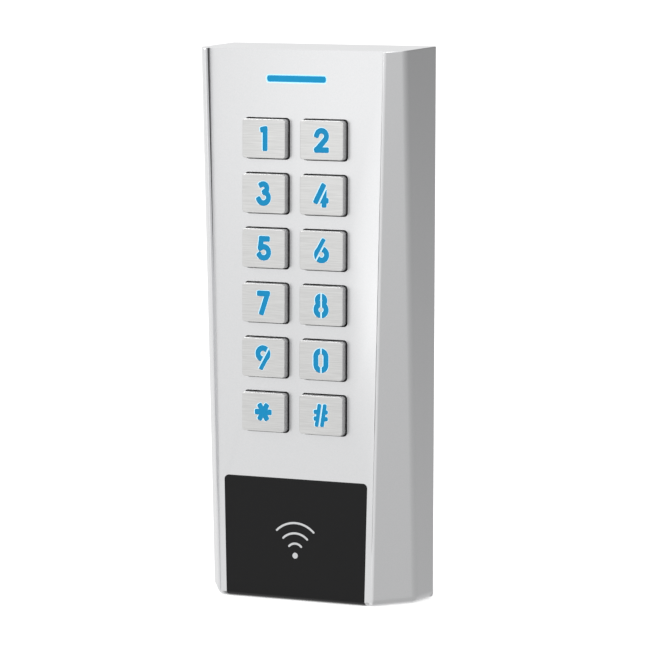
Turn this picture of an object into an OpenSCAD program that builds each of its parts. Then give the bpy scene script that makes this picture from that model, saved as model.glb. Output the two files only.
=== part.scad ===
// Keypad access reader: a slim cast-metal keypad with a card reader window, for wall mounting.
// The wall is the plane y = 0, the keypad looks towards -Y, and +Z is up.
// The origin is in the middle of the wall face. Lengths are in millimetres.

/* [Case] */
// Width of the case
case_w = 61; // [60:0.5:64]
// Height of the case
case_h = 148; // [147:0.5:152]
// Distance from the wall to the keypad face
face_depth = 22; // [22:0.5:26]
// How far the side rims stand in front of the keypad face at the top
rim_rise_top = 1.8; // [1:0.1:2.4]
// How far the side rims stand in front of the keypad face at the bottom
rim_rise_low = 0.2; // [0.1:0.1:0.8]
// Half of the front's width at the top, to the outer edge of a rim
front_half_top = 27.1; // [26.5:0.1:28]
// Half of the front's width at the bottom
front_half_low = 23.2; // [22.8:0.1:24]
// How far behind the face the side bevel reaches at the bottom
bevel_depth_low = 11.3; // [10:0.1:13]
// How much lower the front edge of the top is than its rear edge
top_fall = 0.8; // [0:0.1:1.2]
// Thickness of the wall behind the keypad face
face_wall = 3; // [3:0.1:3.4]
// Thickness of the side walls around the electronics
side_wall = 3.7; // [3.4:0.1:4]

/* [Keys] */
// Distance between the two columns of keys
key_pitch_x = 17.2; // [17:0.1:18]
// Distance between the rows of keys
key_pitch_z = 14.6; // [14.4:0.1:14.8]
// Height of the middle of the top row above the middle of the case
key_top_z = 49.5; // [49:0.1:50]
// Width of a key cap
key_w = 12.8; // [12:0.1:13]
// Height of a key cap
key_h = 10.4; // [10:0.1:10.8]
// How far a key cap stands in front of the face
key_proud = 2.2; // [1.8:0.1:2.6]
// Gap round a key cap
key_gap = 0.3; // [0.25:0.05:0.4]
// How far a key travels when it is pressed
key_travel = 0.8; // [0.4:0.1:0.8]
// Width of the stencil strokes in the key caps
stroke_w = 1.5; // [1.3:0.05:1.5]

/* [Front] */
// Height of the reader window
window_h = 32.7; // [32:0.1:34]
// Half of the window's width at its top
window_half_top = 21.35; // [20.8:0.05:21.4]
// Half of the window's width at its bottom
window_half_low = 20.65; // [20:0.05:20.7]
// Length of the light bar
bar_w = 17.6; // [14:0.2:20]
// Height of the light bar
bar_h = 1.8; // [1.5:0.1:2.2]
// Height of the light bar above the middle of the case
bar_z = 65.4; // [65:0.1:66]

/* [Mounting] */
// Distance between the two wall screw holes
mount_spacing = 84; // [70:1:90]
// Diameter of the wall screw holes
mount_hole_d = 4.4; // [3.5:0.1:5]
// Diameter of the cable hole in the grommet
cable_d = 5.5; // [4:0.5:6]
// Diameter of the cable opening in the wall plate
cable_opening_d = 16; // [15:1:20]
// Thickness of the wall plate
plate_t = 1.5; // [1.2:0.1:1.8]

/* [Hidden] */

round_fn = 48;
eps = 0.01;
far = 200;

half_w = case_w / 2;
half_h = case_h / 2;
face_y = -face_depth;
face_inner_y = face_y + face_wall;

// The stack behind the face, from front to back
flange_gap = 0.1;
flange_t = 0.8;
flange_y = face_inner_y + flange_gap;
board_front_y = -14.6;
mat_front_y = board_front_y - 1;
stem_end_y = mat_front_y - key_travel - 0.1;
collar_front_y = flange_y + flange_t + key_travel + 0.3;
board_t = 1.6;
board_back_y = board_front_y + board_t;
cover_front_y = -6;
cover_t = 2;
cover_back_y = cover_front_y + cover_t;

// The opening behind the cover's ledge, which the wall plate fits into
rear_wall = 1.9;
rear_half_w = half_w - rear_wall;
rear_half_h = half_h - rear_wall;
rear_gap = 0.4;
notch_half_w = 10;
notch_depth = 6;
shelf_t = 2;

// Places of the repeated pieces
key_places = [for (row = [0:5], column = [-1, 1])
    [column * key_pitch_x / 2, key_top_z - row * key_pitch_z]];
board_screw_places = [for (x = [-17.3, 17.3], z = [60, -36]) [x, z]];
cover_screw_places = [for (x = [-23.4, 23.4], z = [58, 4, -50]) [x, z]];
cable_z = -20;
tamper_place = [-14, 40];

// ---- Plane outlines -------------------------------------------------------------------------

function arc_points(centre, r, from, to, n = 8) =
    [for (i = [0:n]) let (a = from + (to - from) * i / n) centre + r * [cos(a), sin(a)]];

function rounded_points(w, h, r) = concat(
    arc_points([w / 2 - r, h / 2 - r], r, 0, 90, 4),
    arc_points([r - w / 2, h / 2 - r], r, 90, 180, 4),
    arc_points([r - w / 2, r - h / 2], r, 180, 270, 4),
    arc_points([w / 2 - r, r - h / 2], r, 270, 360, 4));

function unit(v) = v / norm(v);

// Direction of a path at point i
function heading(path, i) =
    unit(path[min(i + 1, len(path) - 1)] - path[max(i - 1, 0)]);

// One end of a stroke: half of it, with two small round corners, turned to angle a
function end_points(p, a, w) =
    let (r = 0.4, k = w / 2 - r, ahead = p + k * [cos(a), sin(a)])
    concat(
        arc_points(ahead + k * [sin(a), -cos(a)], r, a - 90, a, 3),
        arc_points(ahead - k * [sin(a), -cos(a)], r, a, a + 90, 3));

// Outline of a stroke of width w along a path
function stroke_points(path, w) =
    let (last = len(path) - 1,
         first_angle = atan2(heading(path, 0).y, heading(path, 0).x),
         last_angle = atan2(heading(path, last).y, heading(path, last).x))
    concat(
        end_points(path[0], first_angle + 180, w),
        [for (i = [1:1:last - 1]) path[i] + w / 2 * [heading(path, i).y, -heading(path, i).x]],
        end_points(path[last], last_angle, w),
        [for (i = [last - 1:-1:1]) path[i] - w / 2 * [heading(path, i).y, -heading(path, i).x]]);

module stroke(path, w = stroke_w) {
    polygon(stroke_points(path, w));
}

// Ring whose middle line is a circle of radius r, stretched up and down by rise
module ring(r, rise = 0) {
    difference() {
        stadium(r + stroke_w / 2, rise);
        stadium(r - stroke_w / 2, rise);
    }
}

module stadium(r, rise) {
    for (side = [-1, 1]) translate([0, side * rise]) circle(r, $fn = round_fn);
    if (rise > 0) square([2 * r, 2 * rise], center = true);
}

module slot(tilt) {
    rotate(tilt) square([0.45, 10], center = true);
}

// ---- Stencil figures, each about 4.5 wide and 6.6 high, drawn in X and Y ---------------------

module figure_1() {
    stroke([[0.4, -2.55], [0.4, 2.55]]);
    stroke([[-0.35, 2.4], [0.4, 2.55]]);
}

module figure_2() {
    stroke(concat(arc_points([0, 1.1], 1.45, 168, -34, 12), [[-1.4, -2.5]]));
    stroke([[-1.42, -2.55], [1.42, -2.55]]);
}

module figure_3() {
    stroke(arc_points([-0.1, 1.45], 1.1, 125, -70, 12));
    stroke(arc_points([-0.05, -1.05], 1.5, 75, -158, 14));
}

module figure_4() {
    bar = [[0.5, 2.5], [-1.55, -1.45]];
    bar_gap = 0.5;
    stroke(bar);
    difference() {
        union() {
            stroke([[0.8, 1], [0.8, -2.4]]);
            stroke([[-0.5, -1.3], [1.4, -1.3]]);
            polygon([[1.4, 2], [0.4, 2], [-0.9, -1.2], [1.4, -1.2]]);
        }
        stroke([for (p = bar) p + [bar_gap, 0]]);
        translate([-2, 0]) square([3, 8], center = true);
    }
}

module figure_5() {
    stroke([[-0.65, 2.55], [1.15, 2.55]]);
    stroke([[-0.65, 2.5], [-0.95, 0.2]]);
    stroke(arc_points([0.05, -1.05], 1.5, 130, -150, 14));
}

module figure_6() {
    difference() {
        union() {
            translate([0.1, -1.05]) ring(1.5);
            stroke([[0.6, 2.5], [-1.15, -0.55]]);
        }
        translate([-0.6, -0.9]) slot(-30);
    }
}

module figure_7() {
    stroke([[-1.2, 2.55], [1.2, 2.55]]);
    stroke([[1.2, 2.45], [-0.5, -2.5]]);
}

module figure_8() {
    difference() {
        union() {
            translate([0, 1.45]) ring(1.1);
            translate([0, -1.05]) ring(1.5);
        }
        slot(0);
    }
}

module figure_9() {
    rotate(180) figure_6();
}

module figure_0() {
    difference() {
        ring(1.5, 1.05);
        slot(0);
    }
}

module figure_star() {
    for (a = [0, 60, 120]) rotate(a) stroke([[-1.8, 0], [1.8, 0]]);
}

module figure_hash() {
    bar = 1.15;
    difference() {
        union() {
            for (x = [-0.8, 0.8]) stroke([[x - 0.38, -2.5], [x + 0.38, 2.5]], bar);
            for (y = [-0.9, 0.9]) stroke([[-1.55, y], [1.55, y]], bar);
        }
        slot(-8.6);
    }
}

module figure(name) {
    if (name == "1") figure_1();
    if (name == "2") figure_2();
    if (name == "3") figure_3();
    if (name == "4") figure_4();
    if (name == "5") figure_5();
    if (name == "6") figure_6();
    if (name == "7") figure_7();
    if (name == "8") figure_8();
    if (name == "9") figure_9();
    if (name == "0") figure_0();
    if (name == "star") figure_star();
    if (name == "hash") figure_hash();
}

// ---- Helpers --------------------------------------------------------------------------------

// Stands a plane outline up as a slab from y = front to y = back
module slab(front, back) {
    translate([0, back, 0]) rotate([90, 0, 0]) linear_extrude(back - front) children();
}

// A round bar along Y from y = front to y = back
module bar_along_y(place, front, back, d) {
    translate([place.x, back, place.y]) rotate([90, 0, 0])
        cylinder(h = back - front, d = d, $fn = round_fn);
}

// A box given by its x, y and z limits
module box(x, y, z) {
    translate([x[0], y[0], z[0]]) cube([x[1] - x[0], y[1] - y[0], z[1] - z[0]]);
}

// Removes everything on the outer side of the plane through three points
module cut_beyond(a, b, c, inset = 0) {
    n = unit(cross(b - a, c - a));
    translate(a - inset * n) rotate([0, -asin(n.z), atan2(n.y, n.x)])
        translate([0, -far, -far]) cube([far, 2 * far, 2 * far]);
}

// ---- Case -----------------------------------------------------------------------------------

// Outer form of the case, moved inwards by inset, with its front at front_y
module case_form(inset, front_y) {
    rim_top = [front_half_top, face_y - rim_rise_top, half_h];
    rim_low = [front_half_low, face_y - rim_rise_low, -half_h];
    side_low = [half_w, face_y + bevel_depth_low, -half_h];
    difference() {
        box([inset - half_w, half_w - inset], [front_y, 0], [inset - half_h, half_h - inset]);
        for (side = [0, 1]) mirror([side, 0, 0]) cut_beyond(rim_top, rim_low, side_low, inset);
        cut_beyond([0, 0, half_h], [0, face_y, half_h - top_fall], [far, 0, half_h], inset);
    }
}

module rim_front() {
    cut_beyond([0, face_y - rim_rise_top, half_h], [0, face_y - rim_rise_low, -half_h],
        [far, face_y - rim_rise_top, half_h]);
}

// The sunken keypad face between the two side rims
module face_recess() {
    rim_land = 0.7;
    slab(face_y - 5, face_y) polygon([
        [front_half_top - rim_land, half_h + 1], [rim_land - front_half_top, half_h + 1],
        [rim_land - front_half_low, -half_h - 1], [front_half_low - rim_land, -half_h - 1]]);
}

module window_outline(gap) {
    low = -half_h;
    top = low + window_h + gap;
    r = 1.2;
    polygon(concat(
        arc_points([window_half_top + gap - r, top - r], r, 0, 90, 4),
        arc_points([r - window_half_top - gap, top - r], r, 90, 180, 4),
        [[-window_half_low - gap, low - gap], [window_half_low + gap, low - gap]]));
}

window_t = 2;
window_plug = [34, 22];
window_plug_z = -half_h + 18.5;

module cover_outline(inset) {
    w = rear_half_w - rear_gap - inset;
    h = rear_half_h - rear_gap - inset;
    difference() {
        square([2 * w, 2 * h], center = true);
        for (side = [-1, 1]) translate([0, side * (h + inset)])
            square([2 * (notch_half_w + inset), 2 * (notch_depth + inset)], center = true);
    }
}

lock_screw_y = -3.6;
lock_screw_d = 3;
lock_head_d = 5.6;
lock_head_t = 1.5;

// The wall plate's hook, which goes up into a slot in the roof
hook_half_w = 8;
hook_y = [-5, -3.3];
hook_rise = 1;

module front_housing() {
    pocket_half_w = half_w - side_wall;
    pocket_half_h = half_h - side_wall;
    boss_d = 6;
    color([0.80, 0.81, 0.82]) difference() {
        union() {
            difference() {
                case_form(0, face_y - rim_rise_top);
                rim_front();
                face_recess();
                intersection() {
                    case_form(2.2, face_inner_y);
                    box([-pocket_half_w, pocket_half_w], [face_inner_y, 1], [-pocket_half_h, pocket_half_h]);
                }
                box([-rear_half_w, rear_half_w], [cover_front_y, 1], [-rear_half_h, rear_half_h]);
            }
            intersection() {
                case_form(1, face_inner_y - eps);
                union() {
                    for (p = cover_screw_places)
                        bar_along_y(p, face_inner_y - eps, cover_front_y, boss_d);
                    for (side = [0, 1]) mirror([0, 0, side])
                        box([-notch_half_w - 2, notch_half_w + 2], [cover_front_y - shelf_t, cover_front_y],
                            [pocket_half_h - notch_depth - 1.5, pocket_half_h + 1]);
                }
            }
            for (p = board_screw_places) bar_along_y(p, face_inner_y - eps, board_front_y, 5);
        }
        for (p = key_places) translate([p.x, 0, p.y]) slab(face_y - 5, face_inner_y + 1)
            polygon(rounded_points(key_w + 2 * key_gap, key_h + 2 * key_gap, 1));
        translate([0, 0, bar_z]) slab(face_y - 5, face_inner_y + 1)
            polygon(rounded_points(bar_w + 0.1, bar_h + 0.1, 0.7));
        slab(face_y - 5, face_y + window_t) window_outline(0.05);
        translate([0, 0, window_plug_z]) slab(face_y, face_inner_y + 1)
            square(window_plug + [0.2, 0.2], center = true);
        for (p = cover_screw_places) bar_along_y(p, -15, 0, 2.6);
        for (p = board_screw_places) bar_along_y(p, face_inner_y, 0, 2.1);
        // Slot in the roof for the wall plate's hook
        box([-hook_half_w - 0.5, hook_half_w + 0.5], [hook_y[0] - 0.2, hook_y[1] + 0.3],
            [rear_half_h - 1, rear_half_h + hook_rise - 0.1]);
        // Countersunk hole in the floor for the lock screw
        translate([0, lock_screw_y, -half_h]) {
            cylinder(h = side_wall + 1, d = lock_screw_d + 0.1, $fn = round_fn);
            translate([0, 0, -eps])
                cylinder(h = lock_head_t, d1 = lock_head_d, d2 = lock_screw_d + 0.1, $fn = round_fn);
        }
    }
}

module reader_window() {
    color([0.05, 0.05, 0.055]) union() {
        slab(face_y, face_y + window_t) window_outline(0);
        translate([0, 0, window_plug_z]) slab(face_y + window_t - eps, face_inner_y)
            square(window_plug, center = true);
    }
}

module light_bar() {
    color([0.10, 0.55, 0.85]) translate([0, 0, bar_z]) union() {
        slab(face_y + 0.1, face_inner_y) polygon(rounded_points(bar_w, bar_h, 0.7));
        slab(face_inner_y, face_inner_y + 1) square([bar_w + 2.4, bar_h + 2], center = true);
    }
}

// ---- Keys -----------------------------------------------------------------------------------

cap_wall = 1;
cap_back_y = -19.8;
key_front_y = face_y - key_proud;
stem_size = [6, 5];
// Distance from the middle of a key down to its light
led_drop = 4.3;
pill_d = 3.5;
pill_t = 0.4;
pill_recess = 0.5;

module key_cap(index, name) {
    p = key_places[index];
    color([0.78, 0.79, 0.80]) translate([p.x, 0, p.y]) difference() {
        slab(key_front_y, cap_back_y) polygon(rounded_points(key_w, key_h, 0.8));
        slab(key_front_y + cap_wall, cap_back_y + 1)
            square([key_w - 2 * cap_wall, key_h - 2 * cap_wall], center = true);
        slab(key_front_y - 1, key_front_y + 2 * cap_wall) figure(name);
    }
}

// Translucent body of a key: it fills the cap and its stencil, and carries the flange and stem
module light_guide(index, name) {
    p = key_places[index];
    fill_gap = 0.05;
    figure_sink = 0.25;
    flange_over = 1.8;
    color([0.12, 0.60, 0.88]) translate([p.x, 0, p.y]) union() {
        slab(key_front_y + figure_sink, key_front_y + cap_wall + 1) figure(name);
        slab(key_front_y + cap_wall + fill_gap, flange_y)
            square([key_w - 2 * cap_wall - 0.1, key_h - 2 * cap_wall - 0.1], center = true);
        slab(flange_y, flange_y + flange_t) square([key_w + flange_over, key_h + flange_over], center = true);
        slab(flange_y + flange_t - eps, stem_end_y) square(stem_size, center = true);
    }
}

// Silicone sheet with a collar round each stem, a window for each light and a recess for each pill
module rubber_mat() {
    mat_w = 29;
    mat_h = 5 * key_pitch_z + 13;
    collar_size = [9, 8.2];
    collar_shift = 0.6;
    led_window = [2.6, 1.8];
    color([0.85, 0.86, 0.84]) difference() {
        union() {
            translate([0, 0, key_top_z - 2.5 * key_pitch_z]) slab(mat_front_y, board_front_y)
                polygon(rounded_points(mat_w, mat_h, 2));
            for (p = key_places) translate([p.x, 0, p.y + collar_shift])
                slab(collar_front_y, mat_front_y + eps) square(collar_size, center = true);
        }
        for (p = key_places) translate([p.x, 0, p.y]) {
            slab(collar_front_y - 1, mat_front_y) square(stem_size + [0.6, 0.6], center = true);
            slab(mat_front_y - 2, board_front_y + 1) translate([0, -led_drop])
                square(led_window, center = true);
            bar_along_y([0, 0], board_front_y - pill_recess, board_front_y + 1, pill_d + 0.1);
        }
    }
}

module contact_pills() {
    color([0.12, 0.12, 0.12]) for (p = key_places)
        bar_along_y(p, board_front_y - pill_recess, board_front_y - pill_recess + pill_t, pill_d);
}

// ---- Board and what is on it ----------------------------------------------------------------

board_half_w = 20;
board_low_z = -66;
board_top_z = 69;

module main_board() {
    color([0.05, 0.30, 0.16]) difference() {
        box([-board_half_w, board_half_w], [board_front_y, board_back_y], [board_low_z, board_top_z]);
        for (p = board_screw_places) bar_along_y(p, board_front_y - 1, board_back_y + 1, 2.4);
    }
}

module key_leds() {
    led_size = [1.6, 0.8];
    led_t = 0.6;
    color([0.92, 0.92, 0.80]) for (p = key_places) translate([p.x, 0, p.y - led_drop])
        slab(board_front_y - led_t, board_front_y) square(led_size, center = true);
}

// Three lights behind the light bar
module status_leds() {
    led_size = [3.2, 2.2];
    led_t = 1.6;
    led_pitch = 6;
    color([0.92, 0.92, 0.80]) for (i = [-1:1]) translate([i * led_pitch, 0, bar_z])
        slab(board_front_y - led_t, board_front_y) square(led_size, center = true);
}

// Flat wound coil of the card reader, stuck to the board behind the window
module reader_coil() {
    coil_size = [34, 21];
    coil_t = 2;
    winding_w = 3;
    color([0.72, 0.42, 0.20]) translate([0, 0, window_plug_z]) slab(board_front_y - coil_t, board_front_y)
        difference() {
            polygon(rounded_points(coil_size.x, coil_size.y, 4));
            polygon(rounded_points(coil_size.x - 2 * winding_w, coil_size.y - 2 * winding_w, 2));
        }
}

// Chips, by middle, size on the board and height: controller, card reader chip, memory and regulator
chip_list = [
    [[2, 22], [10, 10], 1.4],
    [[0, -52], [6, 6], 1],
    [[-10, 20], [4, 5], 1.6],
    [[13, 48], [6.6, 6.2], 2.3]];

module board_chips() {
    color([0.10, 0.10, 0.11]) for (chip = chip_list)
        translate([chip[0].x, 0, chip[0].y]) slab(board_back_y, board_back_y + chip[2])
            square(chip[1], center = true);
}

// Height of the tallest pieces on the back of the board
tall_t = 5.4;

module relay() {
    relay_size = [7.2, 10.6];
    color([0.15, 0.15, 0.17]) translate([-12.5, 0, -24]) slab(board_back_y, board_back_y + tall_t)
        square(relay_size, center = true);
}

module buzzer() {
    place = [13, -22];
    buzzer_d = 12;
    sound_hole_d = 2;
    sound_hole_t = 1;
    color([0.08, 0.08, 0.08]) difference() {
        bar_along_y(place, board_back_y, board_back_y + tall_t, buzzer_d);
        bar_along_y(place, board_back_y + tall_t - sound_hole_t, board_back_y + tall_t + 1, sound_hole_d);
    }
}

module capacitors() {
    can_d = 6.3;
    color([0.75, 0.76, 0.78]) for (p = [[-13, 54], [-5, 54], [4, 48]])
        bar_along_y(p, board_back_y, board_back_y + tall_t, can_d);
}

// Ten-way socket for the wires of the cable
module wire_connector() {
    socket_size = [22, 5.6];
    socket_t = 5;
    socket_floor = 1.2;
    wall = 0.8;
    color([0.90, 0.88, 0.80]) translate([0, 0, -40]) difference() {
        slab(board_back_y, board_back_y + socket_t) square(socket_size, center = true);
        slab(board_back_y + socket_floor, board_back_y + socket_t + 1)
            square(socket_size - [2 * wall, 2 * wall], center = true);
    }
}

module tamper_sensor() {
    color([0.35, 0.20, 0.18]) bar_along_y(tamper_place, board_back_y, board_back_y + 4.5, 5);
}

// A pan-head screw along Y with the underside of its head at y = seat
module pan_screw(place, seat, length, d, head_d, head_t) {
    difference() {
        union() {
            bar_along_y(place, seat - length, seat + eps, d);
            bar_along_y(place, seat, seat + head_t, head_d);
        }
        translate([place.x, 0, place.y]) for (a = [0, 90]) rotate([0, a, 0])
            box([-head_d * 0.3, head_d * 0.3], [seat + head_t / 2, seat + head_t + 1], [-0.25, 0.25]);
    }
}

module board_screws() {
    color([0.70, 0.71, 0.72]) for (p = board_screw_places) pan_screw(p, board_back_y, 5.5, 2, 4, 1.4);
}

// ---- Back -----------------------------------------------------------------------------------

groove_w = 1.1;
groove_t = 0.8;
groove_inset = 0.3;
grommet_neck_d = 9.9;
tamper_lens_d = 6;

module gasket_ring(gap) {
    difference() {
        cover_outline(groove_inset + gap);
        cover_outline(groove_inset + groove_w - gap);
    }
}

module back_cover() {
    color([0.16, 0.16, 0.17]) difference() {
        slab(cover_front_y, cover_back_y) cover_outline(0);
        slab(cover_front_y - 1, cover_front_y + groove_t) gasket_ring(0);
        for (p = cover_screw_places) bar_along_y(p, cover_front_y - 1, cover_back_y + 1, 2.9);
        bar_along_y([0, cable_z], cover_front_y - 1, cover_back_y + 1, grommet_neck_d + 0.1);
        bar_along_y(tamper_place, cover_front_y - 1, cover_back_y + 1, tamper_lens_d);
    }
}

module cover_gasket() {
    color([0.55, 0.20, 0.16]) slab(cover_front_y, cover_front_y + groove_t) gasket_ring(0.05);
}

module tamper_lens() {
    color([0.80, 0.85, 0.88]) bar_along_y(tamper_place, cover_front_y, cover_back_y, tamper_lens_d - 0.06);
}

module cover_screws() {
    color([0.70, 0.71, 0.72]) for (p = cover_screw_places)
        pan_screw(p, cover_back_y, 9, 2.5, 4.6, 1.4);
}

module cable_grommet() {
    flange_d = 13;
    flange_t = 1;
    place = [0, cable_z];
    color([0.10, 0.10, 0.10]) difference() {
        union() {
            bar_along_y(place, cover_front_y - flange_t, cover_back_y + flange_t, grommet_neck_d);
            bar_along_y(place, cover_front_y - flange_t, cover_front_y, flange_d);
            bar_along_y(place, cover_back_y, cover_back_y + flange_t, flange_d);
        }
        bar_along_y(place, cover_front_y - 2, cover_back_y + 2, cable_d);
    }
}

module wall_plate() {
    plate_gap = 0.3;
    w = rear_half_w - plate_gap;
    h = rear_half_h - plate_gap;
    tab_half_w = 7;
    tab_t = 2.4;
    color([0.62, 0.63, 0.64]) difference() {
        union() {
            slab(-plate_t, 0) polygon(rounded_points(2 * w, 2 * h, 2));
            // Hook under the roof
            box([-hook_half_w, hook_half_w], [hook_y[0], -plate_t + eps], [h - plate_t, h]);
            box([-hook_half_w, hook_half_w], hook_y, [h - eps, h + hook_rise]);
            // Tab that the lock screw holds
            box([-tab_half_w, tab_half_w], [cover_front_y + plate_gap, -plate_t + eps], [-h, -h + tab_t]);
        }
        for (side = [-1, 1]) bar_along_y([0, side * mount_spacing / 2], -plate_t - 1, 1, mount_hole_d);
        bar_along_y([0, cable_z], -plate_t - 1, 1, cable_opening_d);
        // Blind dimple that gives the tamper sensor its light
        bar_along_y(tamper_place, -plate_t - 1, -0.8, tamper_lens_d);
        translate([0, lock_screw_y, -h - 1]) cylinder(h = tab_t + 2, d = lock_screw_d + 0.06, $fn = round_fn);
    }
}

module lock_screw() {
    socket_d = 2;
    color([0.55, 0.56, 0.58]) translate([0, lock_screw_y, -half_h]) difference() {
        union() {
            cylinder(h = lock_head_t - 0.1, d1 = lock_head_d - 0.2, d2 = lock_screw_d, $fn = round_fn);
            cylinder(h = 6, d = lock_screw_d, $fn = round_fn);
        }
        translate([0, 0, -eps]) cylinder(h = 1, d = socket_d, $fn = 6);
    }
}

// ---- The assembly ---------------------------------------------------------------------------

front_housing();
reader_window();
light_bar();
key_cap(0, "1");  // key_1
key_cap(1, "2");  // key_2
key_cap(2, "3");  // key_3
key_cap(3, "4");  // key_4
key_cap(4, "5");  // key_5
key_cap(5, "6");  // key_6
key_cap(6, "7");  // key_7
key_cap(7, "8");  // key_8
key_cap(8, "9");  // key_9
key_cap(9, "0");  // key_0
key_cap(10, "star");  // key_star
key_cap(11, "hash");  // key_hash
light_guide(0, "1");  // light_guide_1
light_guide(1, "2");  // light_guide_2
light_guide(2, "3");  // light_guide_3
light_guide(3, "4");  // light_guide_4
light_guide(4, "5");  // light_guide_5
light_guide(5, "6");  // light_guide_6
light_guide(6, "7");  // light_guide_7
light_guide(7, "8");  // light_guide_8
light_guide(8, "9");  // light_guide_9
light_guide(9, "0");  // light_guide_0
light_guide(10, "star");  // light_guide_star
light_guide(11, "hash");  // light_guide_hash
rubber_mat();
contact_pills();
main_board();
key_leds();
status_leds();
reader_coil();
board_chips();
relay();
buzzer();
capacitors();
wire_connector();
tamper_sensor();
board_screws();
back_cover();
cover_gasket();
tamper_lens();
cover_screws();
cable_grommet();
wall_plate();
lock_screw();
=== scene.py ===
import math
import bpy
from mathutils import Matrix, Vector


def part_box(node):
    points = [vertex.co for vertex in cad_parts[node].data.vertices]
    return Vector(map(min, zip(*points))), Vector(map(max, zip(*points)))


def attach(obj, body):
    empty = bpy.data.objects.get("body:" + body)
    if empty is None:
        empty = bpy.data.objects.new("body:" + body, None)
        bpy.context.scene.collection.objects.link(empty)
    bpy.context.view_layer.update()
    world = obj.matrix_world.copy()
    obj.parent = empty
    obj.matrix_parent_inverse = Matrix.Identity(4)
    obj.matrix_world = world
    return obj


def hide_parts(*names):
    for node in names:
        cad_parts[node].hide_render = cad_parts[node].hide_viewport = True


bl_info = {
    "name": "Keypad Access Reader",
    "version": (1, 0, 0),
    "blender": (4, 5, 0),
    "location": "View3D > Sidebar > Keypad Reader",
    "description": "Builds the looks of a cast-metal keypad access reader around its fixed frame",
    "category": "Object",
}

import bmesh
import bpy
from bpy.props import FloatProperty, FloatVectorProperty, PointerProperty
from mathutils import Quaternion, Vector

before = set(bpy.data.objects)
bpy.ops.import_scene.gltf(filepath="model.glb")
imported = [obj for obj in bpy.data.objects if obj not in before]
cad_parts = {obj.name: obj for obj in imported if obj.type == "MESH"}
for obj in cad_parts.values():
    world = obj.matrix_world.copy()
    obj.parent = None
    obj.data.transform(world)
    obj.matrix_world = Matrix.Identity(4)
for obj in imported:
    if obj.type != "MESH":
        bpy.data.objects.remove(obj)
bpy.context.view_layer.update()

MM = 0.001
# How far a point may lie from a plane and still count as on it
HAIR = 0.01 * MM
KEYS = ["1", "2", "3", "4", "5", "6", "7", "8", "9", "0", "star", "hash"]

# The case's planes, read from the frame
CASE_LOW, CASE_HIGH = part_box("front_housing")
WINDOW_LOW, WINDOW_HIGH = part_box("reader_window")
FACE_Y = WINDOW_LOW.y
BAR_LOW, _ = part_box("light_bar")
# The openings' edges lie between these, all of them clear of the case's own outline
OPENINGS_HALF = 20 * MM
OPENINGS_LOW, OPENINGS_HIGH = WINDOW_HIGH.z + 1 * MM, CASE_HIGH.z - 5 * MM


# ---- Settings --------------------------------------------------------------------------------

def length(name, description, default, low=0.0):
    return FloatProperty(name=name, description=description, default=default, min=low,
                         unit="LENGTH", subtype="DISTANCE", precision=5)


class ReaderCase(bpy.types.PropertyGroup):
    side_edge: length("Side edge", "Softening of the edge between a side and its bevel", 1.5 * MM)
    rim_edge: length("Rim edge", "Softening of the outer edge of each front rim", 0.35 * MM)
    top_edge: length("Top edge", "Softening of the edges round the top", 0.3 * MM)
    foot_edge: length("Foot edge", "Softening of the edges round the bottom", 1.9 * MM)
    rear_edge: length("Rear edge", "Softening of the rear edges", 0.3 * MM)
    rim_half_top: length("Rim place at the top", "From the middle to a rim's outer edge", 27.1 * MM)
    rim_half_low: length("Rim place at the bottom", "From the middle to a rim's outer edge", 23.2 * MM)
    rim_rise_low: length("Rim rise at the bottom", "How far a rim stands in front of the face", 0.2 * MM)
    bevel_depth_low: length("Bevel depth at the bottom", "How far behind the face a side bevel reaches",
                            11.3 * MM)
    top_fall: length("Top fall", "How much lower the front edge of the top is", 0.8 * MM)
    hole_edge: length("Hole edge", "Softening of the front edges of the key holes", 0.12 * MM)
    # The width of the painted glow round the light bar opening
    bar_edge: length("Bar opening's edge", "Width of the lit edge round the light bar", 0.18 * MM)
    lens_edge: length("Bar edge", "Softening of the light bar's own front edge", 0.06 * MM)
    # Where the painted shade on a step begins, measured back from a rim's front
    step_shade_start: length("Bright step", "How far behind a rim's front its step stays bright", 1.1 * MM)


class ReaderKeys(bpy.types.PropertyGroup):
    front_edge: length("Cap edge", "Softening of a cap's front edge", 0.22 * MM)
    # The width of the painted glow round a stencil figure
    stencil_edge: length("Stencil edge", "Width of the lit edge round a stencil figure", 0.13 * MM)


class ReaderWindow(bpy.types.PropertyGroup):
    panel_edge: length("Panel edge", "Softening of the window's front edge", 0.16 * MM)
    symbol_height: length("Symbol height", "From the bottom of the window to the dot", 12.1 * MM)
    line_width: length("Line width", "Width of the symbol's arcs", 0.56 * MM)
    dot_radius: length("Dot radius", "Radius of the symbol's dot", 0.8 * MM)


class ReaderStage(bpy.types.PropertyGroup):
    azimuth: FloatProperty(name="Azimuth", description="Camera angle to the right of the front",
                           default=math.radians(26.81), unit="ROTATION", subtype="ANGLE")
    elevation: FloatProperty(name="Elevation", description="Camera angle above the horizon",
                             default=math.radians(5.51), unit="ROTATION", subtype="ANGLE")
    roll: FloatProperty(name="Roll", description="Camera roll",
                        default=math.radians(0.18), unit="ROTATION", subtype="ANGLE")
    distance: length("Distance", "From the camera to its aim point", 1.1796)
    aim: FloatVectorProperty(name="Aim point", description="Point that the camera looks at", size=3,
                             default=(3.68 * MM, -12 * MM, -0.64 * MM), unit="LENGTH", subtype="XYZ")
    lens: FloatProperty(name="Lens", description="Focal length in millimetres on a 36 mm sensor",
                        default=244.16, min=10.0)


# ---- Small tools -----------------------------------------------------------------------------

def linear(code):
    """Turns an sRGB hex colour into a linear RGBA one."""
    def channel(byte):
        part = byte / 255
        return part / 12.92 if part <= 0.04045 else ((part + 0.055) / 1.055) ** 2.4
    return tuple(channel(int(code[i:i + 2], 16)) for i in (1, 3, 5)) + (1.0,)


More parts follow.
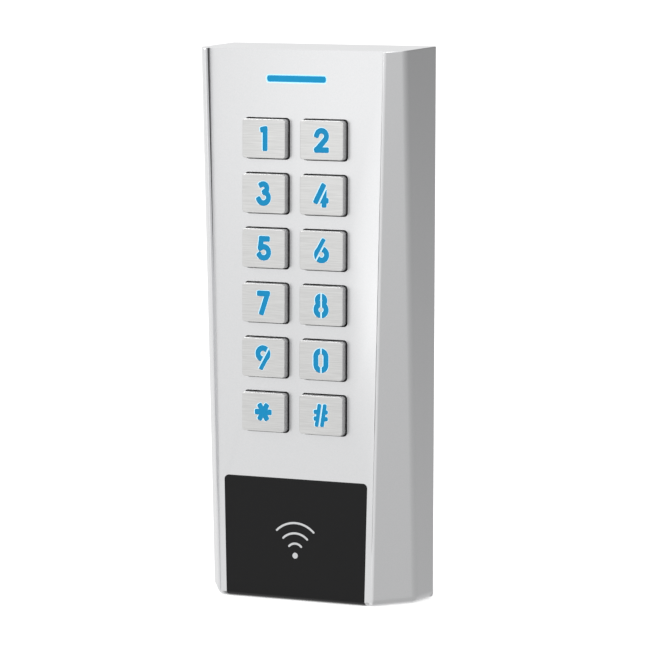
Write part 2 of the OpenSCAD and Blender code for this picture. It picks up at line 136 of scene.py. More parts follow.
def add_node(tree, kind, inputs=(), **settings):
    """Adds a node. A setting is one of its attributes, an input a value or another node's socket."""
    made = tree.nodes.new(kind)
    for name, value in settings.items():
        setattr(made, name, value)
    for socket, value in dict(inputs).items():
        if isinstance(value, bpy.types.NodeSocket):
            tree.links.new(value, made.inputs[socket])
        else:
            made.inputs[socket].default_value = value
    return made


def new_material(name, shader_inputs):
    """Makes a material with one Principled shader and returns it with its tree and shader."""
    material = bpy.data.materials.new(name)
    material.use_nodes = True
    tree = material.node_tree
    tree.nodes.clear()
    shader = add_node(tree, "ShaderNodeBsdfPrincipled", shader_inputs)
    add_node(tree, "ShaderNodeOutputMaterial", {"Surface": shader.outputs["BSDF"]})
    return material, tree, shader


def grained(name, dark, light, grain, roughness, relief=0.02, stretch=(1, 1, 1), detail=3.0, **inputs):
    """A material whose colour, roughness and relief vary with one grain, of that size in metres."""
    settings = {key.replace("_", " "): value for key, value in inputs.items()}
    material, tree, shader = new_material(name, settings)
    place = add_node(tree, "ShaderNodeTexCoord").outputs["Object"]
    place = add_node(tree, "ShaderNodeMapping", {"Vector": place, "Scale": stretch}).outputs["Vector"]
    noise = add_node(tree, "ShaderNodeTexNoise",
                     {"Vector": place, "Scale": 1 / grain, "Detail": detail}).outputs["Fac"]
    colour = add_node(tree, "ShaderNodeValToRGB", {"Fac": noise})
    colour.color_ramp.elements[0].color = linear(dark)
    colour.color_ramp.elements[0].position = 0.3
    colour.color_ramp.elements[1].color = linear(light)
    colour.color_ramp.elements[1].position = 0.7
    gloss = add_node(tree, "ShaderNodeMapRange",
                     {"Value": noise, "To Min": roughness[0], "To Max": roughness[1]}).outputs["Result"]
    bump = add_node(tree, "ShaderNodeBump",
                    {"Height": noise, "Strength": 1.0, "Distance": relief * grain}).outputs["Normal"]
    tree.links.new(colour.outputs["Color"], shader.inputs["Base Color"])
    tree.links.new(gloss, shader.inputs["Roughness"])
    tree.links.new(bump, shader.inputs["Normal"])
    return material


def dress(piece, *materials):
    """Gives a piece its materials, in the order of its faces' material numbers."""
    piece.data.materials.clear()
    for material in materials:
        piece.data.materials.append(material)


def choose(piece):
    """Makes a piece the only selected and the active one."""
    bpy.ops.object.select_all(action="DESELECT")
    bpy.context.view_layer.objects.active = piece
    piece.select_set(True)


def start_edit(piece):
    choose(piece)
    bpy.ops.object.mode_set(mode="EDIT")
    bpy.ops.mesh.select_mode(type="EDGE")
    bpy.ops.mesh.select_all(action="DESELECT")


def end_edit():
    bpy.ops.object.mode_set(mode="OBJECT")


def pick_edges(piece, test):
    """Selects, in edit mode, the edges between two faces that the test accepts."""
    mesh = bmesh.from_edit_mesh(piece.data)
    mesh.normal_update()
    count = 0
    for edge in mesh.edges:
        wanted = len(edge.link_faces) == 2 and test(edge)
        edge.select_set(wanted)
        count += wanted
    mesh.select_flush_mode()
    bmesh.update_edit_mesh(piece.data)
    return count


def is_corner(edge, low=20):
    """Whether an edge is a corner that sticks out, of at least that many degrees."""
    return edge.calc_face_angle_signed(0) > math.radians(low)


def middle(edge):
    return (edge.verts[0].co + edge.verts[1].co) / 2


def lies_at(edge, depth):
    """Whether an edge lies in the upright plane at that depth."""
    return all(abs(vertex.co.y - depth) < HAIR for vertex in edge.verts)


def soften(piece, test, width, segments=3, material=-1, slide=True):
    """Bevels the edges that the test accepts. Without slide, the bevel keeps its width at every corner."""
    if pick_edges(piece, test) == 0:
        raise RuntimeError(f"{piece.name}: no edge to soften")
    bpy.ops.mesh.bevel(offset_type="OFFSET", offset=width, segments=segments, profile=0.5,
                       affect="EDGES", clamp_overlap=False, loop_slide=slide, material=material)


def merged_copy(node, name):
    """Copies a frame node's mesh as a new piece, with its vertices merged and its flat faces whole."""
    piece = bpy.data.objects.new(name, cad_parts[node].data.copy())
    bpy.context.scene.collection.objects.link(piece)
    piece.data.name = name
    start_edit(piece)
    bpy.ops.mesh.select_all(action="SELECT")
    bpy.ops.mesh.remove_doubles(threshold=0.001 * MM)
    bpy.ops.mesh.dissolve_limited(angle_limit=math.radians(0.5))
    bpy.ops.mesh.select_all(action="DESELECT")
    end_edit()
    return piece


def apply_modifier(piece, kind, **settings):
    """Adds a modifier with its settings and applies it."""
    choose(piece)
    modifier = piece.modifiers.new(kind.lower(), kind)
    for name, value in settings.items():
        setattr(modifier, name, value)
    bpy.ops.object.modifier_apply(modifier=modifier.name)


def smooth(piece, angle=35):
    """Shades a piece smooth up to that angle, with its flat faces kept flat."""
    choose(piece)
    bpy.ops.object.shade_smooth_by_angle(angle=math.radians(angle))
    apply_modifier(piece, "WEIGHTED_NORMAL", keep_sharp=True, weight=100)


def settle(piece, body, slot, *replaced):
    """Rides a finished piece on its body and hides the frame nodes that it replaces; the slot is not used.
    """
    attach(piece, body)
    if replaced:
        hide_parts(*replaced)


# ---- Materials -------------------------------------------------------------------------------

def satin_chrome():
    """Zinc die casting, linished and satin chrome plated: soft, even, cool reflections."""
    return grained("satin_chrome_zinc_casting", "#e4e5e6", "#e9e9ea", grain=0.3 * MM,
                   roughness=(0.27, 0.31), relief=0.001, Metallic=1.0)


def brushed_stainless():
    """Stainless sheet, brushed from side to side and then eased: fine level lines. The lines are
    drawn 0.25 mm apart, coarser than real ones, so that they show."""
    return grained("brushed_stainless_caps", "#d3d3d2", "#e2e2e1", grain=0.25 * MM,
                   roughness=(0.28, 0.36), relief=0.006, stretch=(0.04, 1, 1), Metallic=1.0)


def painted_glow_edge():
    """The cut edge of the steel round a figure, with a painted pale cyan glow: the steel itself shines,
    standing in for the light of the figure behind it.
    """
    material = grained("painted_glow_stencil_edge", "#a9d3e4", "#b9dcea", grain=0.3 * MM, roughness=(0.3, 0.4),
                       Metallic=0.3)
    shader = material.node_tree.nodes["Principled BSDF"]
    shader.inputs["Emission Color"].default_value = linear("#9adcf5")
    shader.inputs["Emission Strength"].default_value = 0.6
    return material


def lit_acrylic(name, glow):
    """Moulded translucent acrylic with a blue light behind it: an even, slightly milky blue."""
    material = grained(name, "#075481", "#095886", grain=1.5 * MM, roughness=(0.3, 0.4),
                       Specular_IOR_Level=0.15)
    shader = material.node_tree.nodes["Principled BSDF"]
    shader.inputs["Emission Color"].default_value = linear(glow)
    shader.inputs["Emission Strength"].default_value = 0.7
    return material


def dark_moulding():
    """The light-tight second shot of a key's body, moulded in matt black polycarbonate."""
    return grained("matt_black_polycarbonate", "#070708", "#0b0b0c", grain=0.3 * MM, roughness=(0.5, 0.6),
                   Specular_IOR_Level=0.2)


def painted_step_shade():
    """Painted shade on the step beside the keypad face: a dark, dull metal colour that stands in for the
    shade where the step is deep.
    """
    return grained("painted_shade_zinc_step", "#4c4c4d", "#5a5a5b", grain=0.2 * MM, roughness=(0.4, 0.5),
                   Metallic=1.0)


def painted_shade_drawn_steel():
    """The drawn sides of the steel caps, left as they come from the press, with lines along the draw; their
    colour, darker than the fronts, is painted shade, which is also given to the softened edges that look up.
    """
    return grained("drawn_stainless_sides_painted_shade", "#b6b6b7", "#c6c6c6", grain=0.3 * MM, roughness=(0.38, 0.48),
                   relief=0.01, stretch=(1, 0.05, 1), Metallic=1.0)


def black_panel():
    """Moulded ABS with a fine satin texture, which lets the reader's field through: deep black with
    a faint, broad sheen."""
    return grained("satin_black_abs", "#0b0b0c", "#0f0f10", grain=0.12 * MM, roughness=(0.38, 0.46),
                   relief=0.01, Specular_IOR_Level=0.22)


def printed_ink():
    """Pad-printed light grey ink: thin, matt and a little uneven."""
    return grained("pad_printed_grey_ink", "#aeafb0", "#babbbc", grain=0.2 * MM, roughness=(0.5, 0.6))


# ---- Case ------------------------------------------------------------------------------------

class READER_OT_case(bpy.types.Operator):
    """Softens the edges of the cast case and gives it its plated finish"""
    bl_idname = "reader.case"
    bl_label = "Case"

    def execute(self, context):
        sizes = context.scene.reader_case
        shell = merged_copy("front_housing", "case_shell")
        # Material 1 is painted shade on the steps, material 2 a painted glow round the bar opening
        dress(shell, satin_chrome(), painted_step_shade(), painted_glow_edge())
        start_edit(shell)

        def round_hole(edge):
            place = middle(edge)
            return is_corner(edge) and lies_at(edge, FACE_Y) and abs(place.x) < OPENINGS_HALF \
                and OPENINGS_LOW < place.z < OPENINGS_HIGH

        def round_bar(edge):
            return round_hole(edge) and middle(edge).z > BAR_LOW.z - 1 * MM
        soften(shell, lambda edge: round_hole(edge) and not round_bar(edge), sizes.hole_edge)
        # The bar opening's softened edge gets the painted glow
        soften(shell, round_bar, sizes.bar_edge, material=2)
        end_edit()
        form = rounded_form(sizes)
        apply_modifier(shell, "BOOLEAN", operation="INTERSECT", object=form, solver="EXACT")
        bpy.data.objects.remove(form)
        smooth(shell)
        paint_shade_on_steps(shell, sizes)
        settle(shell, "case", "satin_case", "front_housing")
        return {"FINISHED"}


def rim_front_plane(sizes):
    """A point on the rims' front plane, the low end of a rim and the plane's outward direction."""
    rim_top = Vector((sizes.rim_half_top, CASE_LOW.y, CASE_HIGH.z))
    rim_low = Vector((sizes.rim_half_low, FACE_Y - sizes.rim_rise_low, CASE_LOW.z))
    along = Vector((0, rim_top.y - rim_low.y, rim_top.z - rim_low.z))
    return rim_top, rim_low, Vector((1, 0, 0)).cross(along).normalized()


def paint_shade_on_steps(shell, sizes):
    """Gives the painted shade to the deeper part of each step, which runs out half way down."""
    place, _, outwards = rim_front_plane(sizes)
    step_half = sizes.rim_half_low - 1.5 * MM

    def on_step(face, middle_point):
        return abs(face.normal.x) > 0.99 and middle_point.y < FACE_Y + HAIR \
            and abs(middle_point.x) > step_half

    start_edit(shell)
    bpy.ops.mesh.select_mode(type="FACE")
    mesh = bmesh.from_edit_mesh(shell.data)
    for face in mesh.faces:
        face.select_set(on_step(face, face.calc_center_median()))
    bmesh.update_edit_mesh(shell.data)
    shade_start_place = place - sizes.step_shade_start * outwards
    bpy.ops.mesh.bisect(plane_co=shade_start_place, plane_no=outwards)
    end_edit()
    # Painted shade: the deeper part of each step gets the dark material
    for face in shell.data.polygons:
        if (face.center - shade_start_place).dot(outwards) < 0 and on_step(face, face.center):
            face.material_index = 1


def rounded_form(sizes):
    """The case's outer form as a solid with soft edges, a trace larger than the case."""
    trace = 0.002 * MM
    low = CASE_LOW - Vector((trace,) * 3)
    high = CASE_HIGH + Vector((trace,) * 3)
    bpy.ops.object.select_all(action="DESELECT")
    bpy.ops.mesh.primitive_cube_add(size=1, location=(low + high) / 2, scale=high - low)
    form = bpy.context.object
    form.name = "rounded_form"
    bpy.ops.object.transform_apply(location=True, rotation=True, scale=True)
    start_edit(form)
    rim_top, rim_low, front_out = rim_front_plane(sizes)
    side_low = Vector((CASE_HIGH.x, FACE_Y + sizes.bevel_depth_low, CASE_LOW.z))
    bevel_out = (rim_low - rim_top).cross(side_low - rim_top).normalized()
    if bevel_out.x < 0:
        bevel_out.negate()
    top_front = Vector((0, FACE_Y, CASE_HIGH.z - sizes.top_fall))
    top_out = Vector((1, 0, 0)).cross(Vector((0, 0, CASE_HIGH.z)) - top_front).normalized()
    if top_out.z < 0:
        top_out.negate()
    mirrored = Vector((-bevel_out.x, bevel_out.y, bevel_out.z))
    mirrored_place = Vector((-rim_top.x, rim_top.y, rim_top.z))
    cuts = [(rim_top, bevel_out), (mirrored_place, mirrored), (rim_top, front_out), (top_front, top_out)]
    for place, outwards in cuts:
        bpy.ops.mesh.select_all(action="SELECT")
        bpy.ops.mesh.bisect(plane_co=place + trace * outwards, plane_no=outwards, use_fill=True,
                            clear_outer=True)
    planes = {"front": front_out, "top": top_out, "foot": Vector((0, 0, -1)), "rear": Vector((0, 1, 0))}

    def faces_of(edge):
        names = set()
        for face in edge.link_faces:
            found = [name for name, normal in planes.items() if face.normal.dot(normal) > 0.9999]
            names.add(found[0] if found else "side" if abs(face.normal.x) > 0.999 else "bevel")
        return names

    widths = [({"foot"}, sizes.foot_edge), ({"top"}, sizes.top_edge), ({"rear"}, sizes.rear_edge),
              ({"front", "bevel"}, sizes.rim_edge), ({"side", "bevel"}, sizes.side_edge)]
    largest = max(width for _, width in widths)
    done = set()
    for names, width in widths:
        def wanted(edge):
            ends = tuple(sorted(vertex.index for vertex in edge.verts))
            met = faces_of(edge)
            if ends in done or not names <= met or ("rear" in met and names != {"rear"}):
                return False
            done.add(ends)
            return True
        pick_edges(form, wanted)
        bpy.ops.transform.edge_bevelweight(value=width / largest)
    end_edit()
    apply_modifier(form, "BEVEL", limit_method="WEIGHT", width=largest, segments=6, use_clamp_overlap=False,
                   miter_outer="MITER_SHARP")
    return form


# ---- Window ----------------------------------------------------------------------------------

class READER_OT_window(bpy.types.Operator):
    """Softens the reader window and prints its wave symbol"""
    bl_idname = "reader.window"
    bl_label = "Window"

    def execute(self, context):
        sizes = context.scene.reader_window
        panel = merged_copy("reader_window", "window_panel")
        start_edit(panel)

        def front_rim(edge):
            return lies_at(edge, FACE_Y) and is_corner(edge) and middle(edge).z > WINDOW_LOW.z + 0.1 * MM
        soften(panel, front_rim, sizes.panel_edge)
        end_edit()
        form = rounded_form(context.scene.reader_case)
        apply_modifier(panel, "BOOLEAN", operation="INTERSECT", object=form, solver="EXACT")
        bpy.data.objects.remove(form)
        smooth(panel)
        dress(panel, black_panel())
        settle(panel, "case", "black_window", "reader_window")
        symbol = wave_symbol(sizes)
        dress(symbol, printed_ink())
        settle(symbol, "case", "black_window")
        return {"FINISHED"}


# The arcs' shared centre above the dot's, and each arc's radius and half of its angle in degrees
ARCS_ABOVE_DOT = 0.78 * MM
ARCS = [(2.48 * MM, 47), (5.23 * MM, 43.5), (8.0 * MM, 43.5)]


def wave_symbol(sizes):
    """A dot under three arcs, printed a hundredth of a millimetre thick."""
    ink = 0.012 * MM
    dot = Vector((0, FACE_Y - ink / 2, WINDOW_LOW.z + sizes.symbol_height))
    centre = dot + Vector((0, 0, ARCS_ABOVE_DOT))
    parts = [ink_disc(dot, sizes.dot_radius, ink)]
    for radius, half_angle in ARCS:
        parts.append(arc_band(centre, radius, math.radians(half_angle), sizes.line_width, ink))
    bpy.ops.object.select_all(action="DESELECT")
    for part in parts:
        part.select_set(True)
    bpy.context.view_layer.objects.active = parts[0]
    bpy.ops.object.join()
    symbol = bpy.context.object
    symbol.name = symbol.data.name = "wave_symbol"
    bpy.ops.object.transform_apply(location=True, rotation=True, scale=True)
    return symbol


def ink_disc(place, radius, thickness):
    """A flat round spot of ink."""
    bpy.ops.object.select_all(action="DESELECT")
    bpy.ops.mesh.primitive_cylinder_add(vertices=40, radius=radius, depth=thickness, location=place,
                                        rotation=(math.radians(90), 0, 0))
    return bpy.context.object


def arc_band(centre, radius, half_angle, width, thickness):
    """A flat arc with round ends, extruded from its outline."""
    steps, end_steps = 28, 8

    def towards(angle):
        return Vector((math.sin(angle), 0, math.cos(angle)))
    outline = []
    for side in (1, -1):
        for step in range(steps + 1):
            angle = side * half_angle * (2 * step / steps - 1)
            outline.append(centre + (radius + side * width / 2) * towards(angle))
        hub = centre + radius * towards(side * half_angle)
        for step in range(1, end_steps):
            turn = side * half_angle + math.pi * step / end_steps
            outline.append(hub + side * width / 2 * towards(turn))
    mesh = bmesh.new()
    face = mesh.faces.new([mesh.verts.new(point + Vector((0, thickness / 2, 0))) for point in outline])
    wall = bmesh.ops.extrude_face_region(mesh, geom=[face])
    moved = [item for item in wall["geom"] if isinstance(item, bmesh.types.BMVert)]
    bmesh.ops.translate(mesh, verts=moved, vec=(0, -thickness, 0))
    bmesh.ops.recalc_face_normals(mesh, faces=mesh.faces)
    data = bpy.data.meshes.new("arc")
    mesh.to_mesh(data)
    mesh.free()
    band = bpy.data.objects.new("arc", data)
    bpy.context.scene.collection.objects.link(band)
    return band


# ---- Light bar -------------------------------------------------------------------------------

class READER_OT_bar(bpy.types.Operator):
    """Softens the light bar's lens and lights it"""
    bl_idname = "reader.bar"
    bl_label = "Light bar"

    def execute(self, context):
        lens = merged_copy("light_bar", "light_bar_lens")
        start_edit(lens)

        def front_rim(edge):
            return lies_at(edge, BAR_LOW.y) and is_corner(edge)
        # The lens's softened rim gets the painted glow
        dress(lens, lit_acrylic("lit_bar_acrylic", "#0f89a8"), painted_glow_edge())
        soften(lens, front_rim, context.scene.reader_case.lens_edge, material=1)
        end_edit()
        smooth(lens)
        settle(lens, "case", "bar_lens", "light_bar")
        return {"FINISHED"}


# ---- Keys ------------------------------------------------------------------------------------

# A figure's shorter edges would turn over as its corners are softened
SHORTEST_EDGE = 0.06 * MM
# A cap's own rim lies within this of its outline, and its figure further in
RIM_REACH = 1 * MM


class READER_OT_keys(bpy.types.Operator):
    """Softens the twelve key caps, brushes them and lights their figures"""
    bl_idname = "reader.keys"
    bl_label = "Keys"

    def execute(self, context):
        sizes = context.scene.reader_keys
        steel, painted_glow, painted_shade_steel = brushed_stainless(), painted_glow_edge(), painted_shade_drawn_steel()
        legend, dark = lit_acrylic("lit_figure_acrylic", "#0a7fa0"), dark_moulding()
        for key in KEYS:
            cap = merged_copy(f"key_{key}", f"key_cap_{key}")
            low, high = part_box(f"key_{key}")
            dress(cap, steel, painted_glow, painted_shade_steel)
            start_edit(cap)
            bpy.ops.mesh.select_all(action="SELECT")
            bpy.ops.mesh.remove_doubles(threshold=SHORTEST_EDGE)

            def on_front(edge):
                return lies_at(edge, low.y) and is_corner(edge)

            def is_rim(edge):
                place = middle(edge)
                reach = min(place.x - low.x, high.x - place.x, place.z - low.z, high.z - place.z)
                return reach < RIM_REACH
            # The figure's softened edge gets the painted pale cyan glow
            soften(cap, lambda edge: on_front(edge) and not is_rim(edge), sizes.stencil_edge,
                   segments=2, material=1, slide=False)
            soften(cap, lambda edge: on_front(edge) and is_rim(edge), sizes.front_edge, segments=4)
            end_edit()
            # The sides, and the softened edges that look up, get the darker drawn steel: painted shade,
            # which also hides the highlight on the edges that look up
            for face in cap.data.polygons:
                if abs(face.normal.y) < 0.1 or face.normal.z > 0.3:
                    face.material_index = 2
            smooth(cap)
            settle(cap, f"button_{key}", "brushed_keys", f"key_{key}")
            figure = merged_copy(f"light_guide_{key}", f"figure_{key}")
            dress(figure, dark, legend)
            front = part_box(f"light_guide_{key}")[0].y
            for face in figure.data.polygons:
                face.material_index = int(abs(face.center.y - front) < HAIR)
            smooth(figure)
            settle(figure, f"button_{key}", "blue_legend", f"light_guide_{key}")
        return {"FINISHED"}


# ---- Electronics -----------------------------------------------------------------------------

def silicone_mat():
    """Compression-moulded silicone, pale grey and matt, with a dusting that dulls it."""
    return grained("pale_grey_silicone", "#c2c3bf", "#cdcec9", grain=0.6 * MM, roughness=(0.6, 0.75),
                   Specular_IOR_Level=0.35)


def carbon_ink():
    """Carbon-filled silicone pills: black, slightly sooty."""
    return grained("carbon_filled_silicone", "#141414", "#232323", grain=0.25 * MM, roughness=(0.7, 0.85))


def solder_resist():
    """Glass-fibre board under green solder resist: a glossy green film over the faint glass weave and
    over copper tracks, which stand out lighter and a little proud."""
    material = grained("green_solder_resist_fr4", "#0b4a28", "#0e5730", grain=0.5 * MM,
                       roughness=(0.18, 0.3), Coat_Weight=0.3, Coat_Roughness=0.15)
    tree = material.node_tree
    shader = tree.nodes["Principled BSDF"]
    place = add_node(tree, "ShaderNodeTexCoord").outputs["Object"]
    turned = add_node(tree, "ShaderNodeMapping",
                      {"Vector": place, "Rotation": (math.radians(90), 0, 0)}).outputs["Vector"]
    # Tracks 0.4 mm wide, 2.4 mm apart, with bends every 9 mm
    tracks = add_node(tree, "ShaderNodeTexBrick",
                      {"Vector": turned, "Scale": 1 / (1 * MM), "Mortar Size": 0.2, "Mortar Smooth": 0.2,
                       "Brick Width": 9.0, "Row Height": 2.4,
                       "Color1": linear("#0b4a28"), "Color2": linear("#0d5029"),
                       "Mortar": linear("#1d7a45")}, offset=0.37)
    tree.links.new(tracks.outputs["Color"], shader.inputs["Base Color"])
    return material


def led_package():
    """Small LEDs: clear epoxy over a white ceramic cup, pale and glossy."""
    return grained("clear_epoxy_over_ceramic", "#e6e4cf", "#f1f0e2", grain=0.8 * MM, roughness=(0.15, 0.25),
                   Coat_Weight=0.6, Coat_Roughness=0.05)


def enamelled_copper():
    """Self-bonding enamelled copper wire, wound flat: fine bright turns, drawn 0.25 mm apart."""
    return grained("enamelled_copper_wire", "#8f4a22", "#c9793f", grain=0.25 * MM, roughness=(0.22, 0.34),
                   relief=0.15, stretch=(1, 0.1, 1), Metallic=1.0)


def moulding_epoxy():
    """Transfer-moulded black epoxy of the chips: matt with a fine spark grain."""
    return grained("moulded_chip_epoxy", "#18181a", "#202022", grain=0.15 * MM, roughness=(0.55, 0.7),
                   relief=0.05)


def part_plastic():
    """Moulded black polyester of the relay and the buzzer, smoother than the chips."""
    return grained("moulded_black_polyester", "#1c1c1e", "#242427", grain=0.4 * MM, roughness=(0.35, 0.5))


def drawn_aluminium():
    """Drawn aluminium cans of the capacitors: bright, with lines along the draw."""
    return grained("drawn_aluminium_can", "#bcbfc3", "#d0d2d5", grain=0.4 * MM, roughness=(0.25, 0.35),
                   relief=0.01, stretch=(1, 0.05, 1), Metallic=1.0)


def ivory_nylon():
    """Moulded ivory nylon of the wire socket: waxy and slightly see-through at the edges."""
    return grained("moulded_ivory_nylon", "#dcd6c0", "#e6e1cd", grain=1.2 * MM, roughness=(0.4, 0.5),
                   Subsurface_Weight=0.2, Subsurface_Scale=0.5 * MM)


def tinted_epoxy():
    """Tinted epoxy of the light sensor: dark red-brown, glossy, deep."""
    return grained("tinted_sensor_epoxy", "#3c1a16", "#4a211b", grain=0.8 * MM, roughness=(0.1, 0.2),
                   Coat_Weight=0.5, Coat_Roughness=0.05)


def zinc_plate(name):
    """Bright zinc over steel, clear passivated: cool grey with a broken, slightly blue spangle."""
    return grained(name, "#b4b7bb", "#c2c4c8", grain=0.8 * MM, roughness=(0.3, 0.38), relief=0.002,
                   Metallic=1.0)


# Frame node, new piece, how much its edges are softened in mm, finish in the record and material
INNER_PIECES = [
    ("rubber_mat", "keypad_mat", 0.12, "pale_silicone", silicone_mat),
    ("contact_pills", "carbon_contacts", 0.08, "carbon_pills", carbon_ink),
    ("main_board", "circuit_board", 0.1, "green_board", solder_resist),
    ("key_leds", "key_lights", 0.08, "led_body", led_package),
    ("status_leds", "bar_lights", 0.15, "led_body", led_package),
    ("reader_coil", "reader_winding", 0.35, "copper_coil", enamelled_copper),
    ("board_chips", "chip_bodies", 0.12, "chip_black", moulding_epoxy),
    ("relay", "relay_body", 0.35, "part_black", part_plastic),
    ("buzzer", "buzzer_body", 0.3, "part_black", part_plastic),
    ("capacitors", "capacitor_cans", 0.4, "capacitor_can", drawn_aluminium),
    ("wire_connector", "wire_socket", 0.15, "ivory_nylon", ivory_nylon),
    ("tamper_sensor", "light_sensor", 0.5, "sensor_body", tinted_epoxy),
]


def eased_piece(node, name, width, slot, material):
    """A merged copy of a frame node with its outward corners softened."""
    piece = merged_copy(node, name)
    start_edit(piece)
    soften(piece, lambda edge: is_corner(edge, 30), width)
    end_edit()
    smooth(piece)
    dress(piece, material)
    settle(piece, "case", slot, node)
    return piece


class READER_OT_electronics(bpy.types.Operator):
    """Softens the mat, the board and what sits on it, and gives each its material"""
    bl_idname = "reader.electronics"
    bl_label = "Electronics"

    def execute(self, context):
        for node, name, width, slot, material in INNER_PIECES:
            eased_piece(node, name, width * MM, slot, material())
        dress(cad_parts["board_screws"], zinc_plate("zinc_plated_board_screws"))
        return {"FINISHED"}


# ---- Back ------------------------------------------------------------------------------------

def sparked_cover():
    """Moulded glass-filled polyester with a fine spark-eroded texture: matt, nearly black."""
    return grained("sparked_black_polyester", "#161618", "#1f1f21", grain=0.22 * MM, roughness=(0.55, 0.7),
                   relief=0.12)


def red_silicone():
    """Moulded brick-red silicone ring: matt and soft."""
    return grained("brick_red_silicone", "#7a2c22", "#8a362a", grain=0.5 * MM, roughness=(0.55, 0.7))


def clear_polycarbonate():
    """Clear moulded polycarbonate disc, a little smoky."""
    return grained("clear_polycarbonate", "#e3e7ea", "#edf0f2", grain=2 * MM, roughness=(0.04, 0.1),
                   Transmission_Weight=0.9, IOR=1.585)


def black_rubber():
    """Moulded black EPDM rubber: matt, with a faint bloom."""
    return grained("moulded_epdm_rubber", "#131313", "#1e1e1e", grain=0.5 * MM, roughness=(0.6, 0.8),
                   relief=0.03)


class READER_OT_back(bpy.types.Operator):
    """Softens the back cover, the grommet, the wall plate and its screw"""
    bl_idname = "reader.back"
    bl_label = "Back"

    def execute(self, context):
        eased_piece("back_cover", "rear_cover", 0.12 * MM, "cover_black", sparked_cover())
        eased_piece("cover_gasket", "sealing_ring", 0.15 * MM, "red_silicone", red_silicone())
        eased_piece("tamper_lens", "sensor_window", 0.2 * MM, "clear_lens", clear_polycarbonate())
        eased_piece("cable_grommet", "cable_gland", 0.25 * MM, "black_rubber", black_rubber())
        eased_piece("wall_plate", "mounting_plate", 0.2 * MM, "plate_steel", zinc_plate("zinc_plated_sheet"))
        screw_zinc = zinc_plate("zinc_plated_screws")
        eased_piece("lock_screw", "locking_screw", 0.08 * MM, "screw_steel", screw_zinc)
        dress(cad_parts["cover_screws"], screw_zinc)
        return {"FINISHED"}


# ---- Stage -----------------------------------------------------------------------------------

class READER_OT_stage(bpy.types.Operator):
    """Makes the camera, the pale floor, the soft lights and the surroundings"""
    bl_idname = "reader.stage"
    bl_label = "Stage"

    def execute(self, context):
        sizes = context.scene.reader_stage
        set_camera(sizes)
        bpy.ops.mesh.primitive_plane_add(size=FLOOR_SIZE, location=(0, 0, CASE_LOW.z - 0.05 * MM))
        floor = context.object
        floor.name = "pale_floor"
        floor.visible_glossy = False
        dress(floor, grained("pale_floor_paint", "#fbfbfb", "#fdfdfd", grain=20 * MM, roughness=(0.6, 0.7),
                             relief=0, Specular_IOR_Level=0.0, Emission_Color=(1, 1, 1, 1),
                             Emission_Strength=0.25))
        set_world(context.scene)
        for name, azimuth, height, size, power in LIGHTS:
            turn = math.radians(azimuth)
            place = Vector((math.sin(turn), -math.cos(turn), height)) * LIGHT_REACH
            add_lamp(name, place, Vector(), size, power)
        glow = add_lamp("face_glow", GLOW_PLACE, GLOW_TARGET, GLOW_SIZE, GLOW_POWER)
        glow.visible_camera = False
        context.scene.view_settings.view_transform = "Standard"
        context.scene.view_settings.look = "None"
        return {"FINISHED"}


# Softboxes: name, azimuth from the front in degrees, height for each metre out, size and power
LIGHT_REACH = 1.2
LIGHTS = [
    ("left_softbox", -50, 0.9, 0.9, 9.0),
    ("right_softbox", 75, 0.7, 0.7, 3.0),
]
# A small lamp close to the face, whose soft reflection lies at the top right of the face
GLOW_PLACE = Vector((-80, -245, 56)) * MM
GLOW_TARGET = Vector((18 * MM, FACE_Y, 50 * MM))
GLOW_SIZE = 80 * MM
GLOW_POWER = 0.006


def add_lamp(name, place, target, size, power):
    """Adds a square lamp of that size in metres and power in watts, facing its target."""
    bpy.ops.object.light_add(type="AREA", location=place)
    lamp = bpy.context.object
    lamp.name = name
    lamp.rotation_euler = (target - place).to_track_quat("-Z", "Y").to_euler()
    lamp.data.size = size
    lamp.data.energy = power
    return lamp


def set_camera(sizes):
    turn, lift = sizes.azimuth, sizes.elevation
    back = Vector((math.sin(turn) * math.cos(lift), -math.cos(turn) * math.cos(lift), math.sin(lift)))
    place = Vector(sizes.aim) + sizes.distance * back
    rotation = (-back).to_track_quat("-Z", "Y") @ Quaternion((0, 0, 1), sizes.roll)
    bpy.ops.object.camera_add(location=place, rotation=rotation.to_euler())
    camera = bpy.context.object
    camera.name = "camera"
    camera.data.sensor_width = 36
    camera.data.lens = sizes.lens
    camera.data.clip_end = 20
    bpy.context.scene.camera = camera


# Brightness of the surroundings above and below the horizon, against the azimuth from the front
# in degrees
SURROUNDINGS_HIGH = [(-90, 1.0), (-45, 0.98), (-20, 0.92), (15, 0.95), (50, 0.95), (90, 0.85),
                     (120, 0.3), (165, 0.13), (190, 0.7), (215, 1.0), (269, 1.0)]
SURROUNDINGS_LOW = [(-90, 1.0), (-45, 0.9), (-20, 0.82), (15, 0.85), (50, 0.7), (90, 0.52),
                    (120, 0.5), (165, 0.55), (190, 0.7), (215, 0.9), (269, 1.0)]
# The same straight overhead
OVERHEAD = 1.1
# The side of the floor, in metres
FLOOR_SIZE = 40


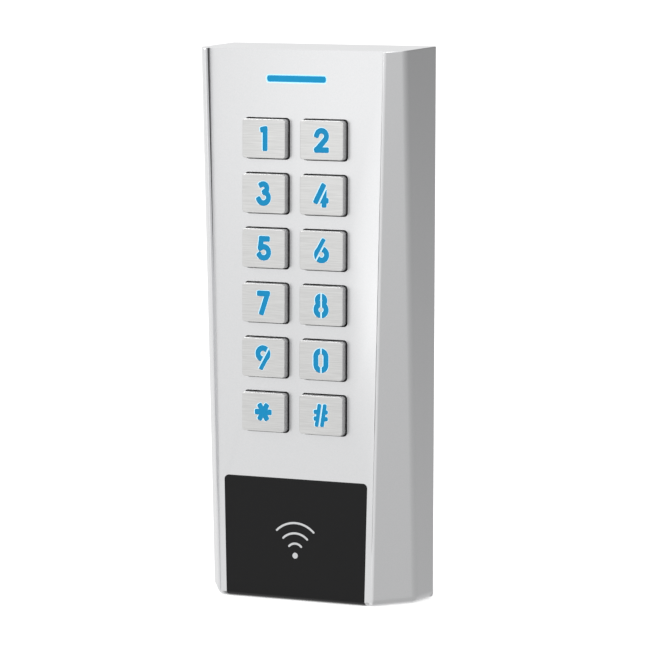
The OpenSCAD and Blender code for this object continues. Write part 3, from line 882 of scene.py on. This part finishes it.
def set_world(scene):
    """Bright, soft surroundings with a darker part behind the right side. The background is pale."""
    world = bpy.data.worlds.new("studio")
    scene.world = world
    world.use_nodes = True
    tree = world.node_tree
    tree.nodes.clear()
    direction = add_node(tree, "ShaderNodeTexCoord").outputs["Generated"]
    around = add_node(tree, "ShaderNodeTexGradient", {"Vector": direction}, gradient_type="RADIAL")
    tones = []
    for points in (SURROUNDINGS_HIGH, SURROUNDINGS_LOW):
        ramp = add_node(tree, "ShaderNodeValToRGB", {"Fac": around.outputs["Fac"]})
        ramp.color_ramp.interpolation = "B_SPLINE"
        stops = ramp.color_ramp.elements
        while len(stops) < len(points):
            stops.new(0.5)
        for stop, (azimuth, tone) in zip(stops, points):
            stop.position = azimuth / 360 + 0.25
            stop.color = (tone, tone, tone, 1)
        tones.append(ramp.outputs["Color"])
    high, low = tones
    rise = add_node(tree, "ShaderNodeSeparateXYZ", {"Vector": direction}).outputs["Z"]
    above = add_node(tree, "ShaderNodeMapRange", {"Value": rise, "From Min": -0.2, "From Max": 0.06},
                     interpolation_type="SMOOTHSTEP").outputs["Result"]
    overhead = add_node(tree, "ShaderNodeMapRange", {"Value": rise, "From Min": 0.5, "From Max": 0.9},
                        interpolation_type="SMOOTHSTEP").outputs["Result"]
    seen = add_node(tree, "ShaderNodeLightPath").outputs["Is Camera Ray"]
    # A Mix node's colours are its sockets 6 and 7, and its result is output 2
    top = add_node(tree, "ShaderNodeMix", {0: overhead, 6: high, 7: (OVERHEAD, OVERHEAD, OVERHEAD, 1)},
                   data_type="RGBA")
    whole = add_node(tree, "ShaderNodeMix", {0: above, 6: low, 7: top.outputs[2]}, data_type="RGBA")
    shown = add_node(tree, "ShaderNodeMix", {0: seen, 6: whole.outputs[2], 7: (1, 1, 1, 1)},
                     data_type="RGBA")
    shader = add_node(tree, "ShaderNodeBackground", {"Color": shown.outputs[2], "Strength": 1.0})
    add_node(tree, "ShaderNodeOutputWorld", {"Surface": shader.outputs["Background"]})


# ---- Panel and registration ------------------------------------------------------------------

class READER_PT_panel(bpy.types.Panel):
    """Lists the pieces' builders and their sizes"""
    bl_idname = "READER_PT_panel"
    bl_label = "Keypad Reader"
    bl_space_type = "VIEW_3D"
    bl_region_type = "UI"
    bl_category = "Keypad Reader"

    def draw(self, context):
        for operator in OPERATORS:
            self.layout.operator(operator.bl_idname)
        for group in GROUPS:
            settings = getattr(context.scene, group)
            for name in settings.__annotations__:
                self.layout.prop(settings, name)


GROUPS = {"reader_case": ReaderCase, "reader_keys": ReaderKeys, "reader_window": ReaderWindow,
          "reader_stage": ReaderStage}
OPERATORS = [READER_OT_stage, READER_OT_case, READER_OT_window, READER_OT_bar, READER_OT_keys,
             READER_OT_electronics, READER_OT_back]


def register():
    for item in [*GROUPS.values(), *OPERATORS, READER_PT_panel]:
        bpy.utils.register_class(item)
    for name, group in GROUPS.items():
        setattr(bpy.types.Scene, name, PointerProperty(type=group))


def unregister():
    for name in GROUPS:
        delattr(bpy.types.Scene, name)
    for item in [READER_PT_panel, *reversed(OPERATORS), *GROUPS.values()]:
        bpy.utils.unregister_class(item)


def main():
    register()
    bpy.ops.reader.stage()
    bpy.ops.reader.case()
    bpy.ops.reader.window()
    bpy.ops.reader.bar()
    bpy.ops.reader.keys()
    bpy.ops.reader.electronics()
    bpy.ops.reader.back()


if __name__ == "__main__":
    main()
